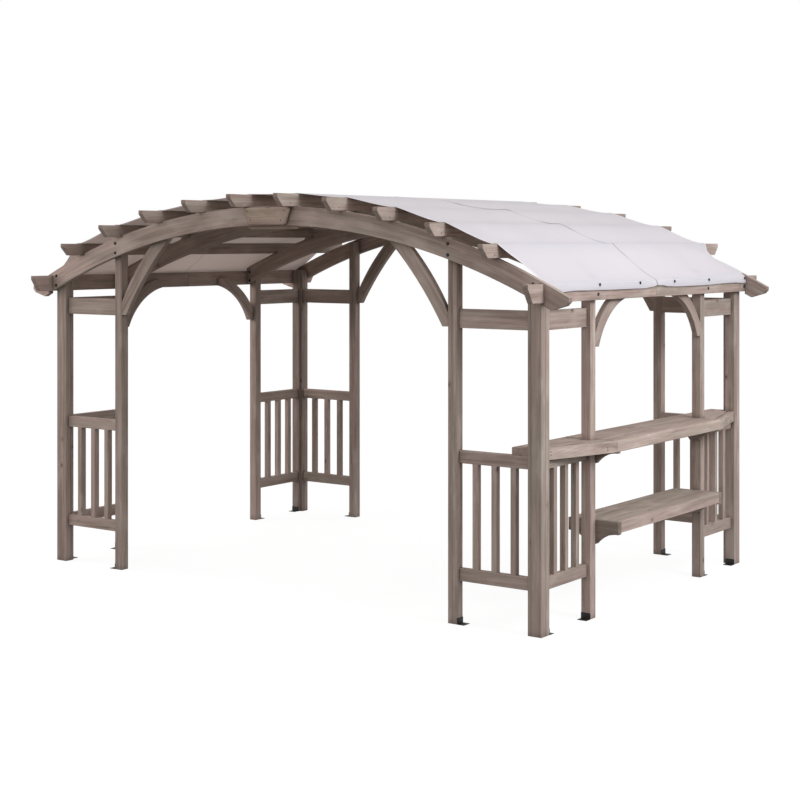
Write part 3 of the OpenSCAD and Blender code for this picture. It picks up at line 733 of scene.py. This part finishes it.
def in_rails(g, p):
    return g.math("GREATER_THAN", g.math("ABSOLUTE", g.math("SUBTRACT", p[2], RAIL_MIDDLE)), RAIL_HALF)


def in_side_rails(g, p):
    return g.math("LESS_THAN", g.math("ABSOLUTE", p[1]), CORNER_RAILS_Y)


def in_diagonals(g, p):
    return g.math("GREATER_THAN", g.math("ABSOLUTE", p[1]), BAR_JOINT_Y)


def baluster_number(g, value, start, pitch):
    """Number of a baluster, counted from the start of the panel's opening."""
    from_start = g.math("SUBTRACT", g.math("ABSOLUTE", value), start - BALUSTER / 2)
    return g.math("ROUND", g.math("DIVIDE", from_start, pitch))


def balusters(g, p):
    return baluster_number(g, p[0], PANEL_START_X, PANEL_PITCH)


def side_balusters(g, p):
    return baluster_number(g, p[1], PANEL_START_Y, SIDE_PITCH)


def bar_boards(g, p):
    """The bar's boards end at the side posts."""
    past_posts = g.math("GREATER_THAN", g.math("ABSOLUTE", p[1]), BAR_JOINT_Y)
    return g.math("MULTIPLY", past_posts, g.math("SIGN", p[1]))


def from_diagonal(g, p):
    """Distance outwards from the diagonal edge boards' outer faces."""
    x = g.math("MULTIPLY", g.math("SUBTRACT", p[0], DIAGONAL_FROM.x), DIAGONAL_OUT.x)
    y = g.math("MULTIPLY", g.math("SUBTRACT", g.math("ABSOLUTE", p[1]), DIAGONAL_FROM.y), DIAGONAL_OUT.y)
    return g.math("ADD", x, y)


def bar_joints(g, p, n):
    """The bar's boards meet at the side posts and along the diagonal edge boards, with dark joints."""
    across = g.math("COMPARE", g.math("ABSOLUTE", p[1]), BAR_JOINT_Y, JOINT_HALF)
    slanting = g.math("COMPARE", from_diagonal(g, p), -BOARD, JOINT_HALF)
    return 0.0, g.math("MAXIMUM", across, slanting)


def levels(g, p):
    """The corbels under the bar and those under the lower shelf are different boards."""
    return g.math("GREATER_THAN", p[2], RAIL_MIDDLE)


def post_boards(g, p, n):
    """A corner post is glued from strips: which of them is here, and the dark lines between them."""
    x, y = g.math("ABSOLUTE", p[0]), g.math("ABSOLUTE", p[1])
    strip = g.math("LESS_THAN", x, POST_STRIP_X)
    outer = g.math("GREATER_THAN", y, POST_STRIP_Y)
    across_front = g.math("COMPARE", x, POST_STRIP_X, POST_SEAM_HALF)
    across_side = g.math("COMPARE", y, POST_STRIP_Y, POST_SEAM_HALF)
    on_front = g.math("MULTIPLY", across_front, g.math("GREATER_THAN", n[1], FACING))
    on_side = g.math("MULTIPLY", across_side, g.math("GREATER_THAN", n[0], FACING))
    return g.math("MULTIPLY_ADD", strip, 2.0, outer), g.math("MAXIMUM", on_front, on_side)


def slim_boards(g, p, n):
    """A slim post is glued from two boards."""
    inner = g.math("LESS_THAN", g.math("ABSOLUTE", p[0]), SLIM_SEAM_X)
    return inner, g.math("COMPARE", g.math("ABSOLUTE", p[0]), SLIM_SEAM_X, SLIM_SEAM_HALF)


def middle_joint(g, p, n):
    """An eave beam is two lengths that meet end to end in the middle."""
    return g.math("GREATER_THAN", p[1], 0.0), g.math("COMPARE", p[1], 0.0, EAVE_JOINT_HALF)


def lighter_half(g, p):
    """The left half of the front arch is of lighter wood than the right half."""
    return g.math("MULTIPLY_ADD", g.math("LESS_THAN", p[0], 0.0), LIGHT_HALF - DARK_HALF, DARK_HALF)


def lighter_rail(g, p):
    """The front rail on the left is of lighter wood."""
    front = g.math("LESS_THAN", p[1], -CORNER_RAILS_Y)
    left = g.math("LESS_THAN", p[0], 0.0)
    return g.math("MULTIPLY_ADD", g.math("MULTIPLY", front, left), LIGHT_RAIL - 1.0, 1.0)


def wood(name, direction, **settings):
    return wood_material(name + "_wood", direction, **settings)


# (start of a node's name, material): the first entry that fits counts, and the last one is for the purlins
FINISHES = [
    ("corner_post_front_left", wood("corner_post_left", along_z, tone=0.84, seams=post_boards)),
    ("corner_post_back_left", wood("corner_post_back", along_z, tone=0.80, seams=post_boards)),
    ("corner_post", wood("corner_post", along_z, tone=0.95, seams=post_boards)),
    ("inner_post_front_left", wood("inner_post_left", along_z, tone=0.81, green=0.6)),
    ("inner_post", wood("inner_post", along_z, tone=0.97, seams=slim_boards)),
    ("side_post", wood("side_post", along_z, tone=1.02, green=0.4)),
    ("top_rails", wood("rail", along_x, other=along_y, where=in_side_rails, shade=lighter_rail)),
    ("front_panel", wood("panel", along_z, boards=balusters, other=along_x, where=in_rails)),
    ("back_panel", wood("back_panel", along_z, boards=balusters, other=along_x, where=in_rails)),
    ("side_panel", wood("side_panel", along_z, boards=side_balusters, other=along_y, where=in_rails)),
    ("front_arch", wood("front_arch", along_arch, shade=lighter_half)),
    ("inner_front_arch", wood("inner_arch", along_arch, tone=0.96)),
    ("inner_back_arch", wood("inner_back_arch", along_arch, tone=0.96)),
    ("back_arch", wood("back_arch", along_arch, tone=0.96)),
    ("crown_plates", wood("plate", along_x, tone=0.94, tint=(1.03, 0.985, 0.92))),
    ("corbels", wood("corbel", along_x, tone=0.82, green=1.0, boards=levels)),
    ("arch_braces", wood("arch_brace", along_arch_brace, tone=0.97)),
    ("side_braces", wood("side_brace", along_side_brace)),
    ("bar_edge_boards", wood("bar_edge", along_y, tone=1.12, other=along_diagonal, where=in_diagonals)),
    ("bar_top", wood("bar_top", along_y, tone=1.07, boards=bar_boards, seams=bar_joints)),
    ("lower_shelf_edge", wood("shelf_edge", along_y, tone=1.02, green=0.3)),
    ("lower_shelf", wood("shelf", along_y, tone=0.98, green=1.0)),
    ("eave_beam", wood("eave_beam", along_y, tone=1.01, green=0.35, seams=middle_joint)),
    ("foot_brackets", steel),
    ("", wood("purlin", along_y, tone=0.95)),
]
EDGE_WIDTH = 0.003      # of the rounded edges, except on these nodes
EDGE_WIDTHS = {"crown_plates": 0.012, "bar_top": 0.0045, "bar_edge_boards": 0.0045, "foot_brackets": 0.0006}
EDGE_SEGMENTS = 2
CHAMFERED = "crown_plates"      # its edges are cut straight
EDGE_ANGLE = 0.6        # edges that turn by more, in radians, are rounded

for name, node in nodes.items():
    if name == "canopy":
        continue
    material = next(finish for start, finish in FINISHES if name.startswith(start))
    for slot in node.material_slots:
        slot.material = material
    weld = node.modifiers.new("weld", "WELD")
    weld.merge_threshold = SAME_POINT
    bevel = node.modifiers.new("edges", "BEVEL")
    bevel.width = EDGE_WIDTHS.get(name, EDGE_WIDTH)
    bevel.segments = 1 if name == CHAMFERED else EDGE_SEGMENTS
    bevel.limit_method = "ANGLE"
    bevel.angle_limit = EDGE_ANGLE
    normals = node.modifiers.new("normals", "WEIGHTED_NORMAL")
    normals.keep_sharp = False


# ---- stage and light ----

WHITE = (1.0, 1.0, 1.0, 1.0)
FLOOR_GREY = (0.15, 0.15, 0.15, 1.0)
FLOOR_GLOW = 0.9
WORLD_LIGHT = 0.76
FLOOR_SIZE = 60.0
SEEN_BY = ("Is Camera Ray", "Is Glossy Ray", "Is Transmission Ray")      # rays that meet the white background


def floor_material():
    """White to the camera, less the object's shadow, and dark grey for the light that it gives back."""
    g = new_material("floor")
    grey = g.node("BsdfDiffuse", {"Color": FLOOR_GREY}).outputs[0]
    glow = g.node("Emission", {"Color": WHITE, "Strength": FLOOR_GLOW}).outputs[0]
    white = g.node("AddShader", (grey, glow)).outputs[0]
    return g.finish(g.node("MixShader", (g.path_is(*SEEN_BY), grey, white)).outputs[0])


def white_world():
    """White where it is seen, and dimmer where it lights the object."""
    g = Graph(bpy.data.worlds.new("world"))
    dim = g.node("Background", {"Color": WHITE, "Strength": WORLD_LIGHT}).outputs[0]
    white = g.node("Background", {"Color": WHITE, "Strength": 1.0}).outputs[0]
    return g.finish(g.node("MixShader", (g.path_is(*SEEN_BY), dim, white)).outputs[0], "OutputWorld")


floor_mesh = bpy.data.meshes.new("floor")
half = FLOOR_SIZE / 2
corners = [(-half, -half, 0.0), (half, -half, 0.0), (half, half, 0.0), (-half, half, 0.0)]
floor_mesh.from_pydata(corners, [], [(0, 1, 2, 3)])
floor_mesh.materials.append(floor_material())
floor = bpy.data.objects.new("floor", floor_mesh)
bpy.context.scene.collection.objects.link(floor)


def new_lamp(name, kind, direction):
    """A lamp whose light comes from this direction."""
    data = bpy.data.lights.new(name, kind)
    lamp = bpy.data.objects.new(name, data)
    lamp.rotation_euler = direction.to_track_quat("Z", "Y").to_euler()
    bpy.context.scene.collection.objects.link(lamp)
    return lamp


AIM = Vector((1.0, 0.0, 1.3))       # what the square panels of light face
PANEL_SIZE = 2.5
# (name, place, power in watts, colour)
PANELS = [
    ("right_panel", (8.0, -1.0, 5.0), 240.0, (0.955, 1.0, 1.025)),
    ("left_panel", (-6.0, -3.0, 3.0), 94.0, (1.10, 1.0, 0.95)),
]
for name, place, power, colour in PANELS:
    panel = new_lamp(name, "AREA", Vector(place) - AIM)
    panel.location = place
    panel.data.size = PANEL_SIZE
    panel.data.energy = power
    panel.data.color = colour

SUN_TURN = math.radians(30.0)       # from the x axis towards the back
SUN_HEIGHT = math.radians(25.0)
SUN_STRENGTH = 0.06 * math.pi
SUN_WIDTH = math.radians(50.0)
flat = math.cos(SUN_HEIGHT)
towards_sun = Vector((flat * math.cos(SUN_TURN), flat * math.sin(SUN_TURN), math.sin(SUN_HEIGHT)))
sun = new_lamp("low_sun", "SUN", towards_sun)
sun.data.angle = SUN_WIDTH
sun.data.energy = SUN_STRENGTH

bpy.context.scene.world = white_world()
bpy.context.scene.view_settings.view_transform = "Standard"
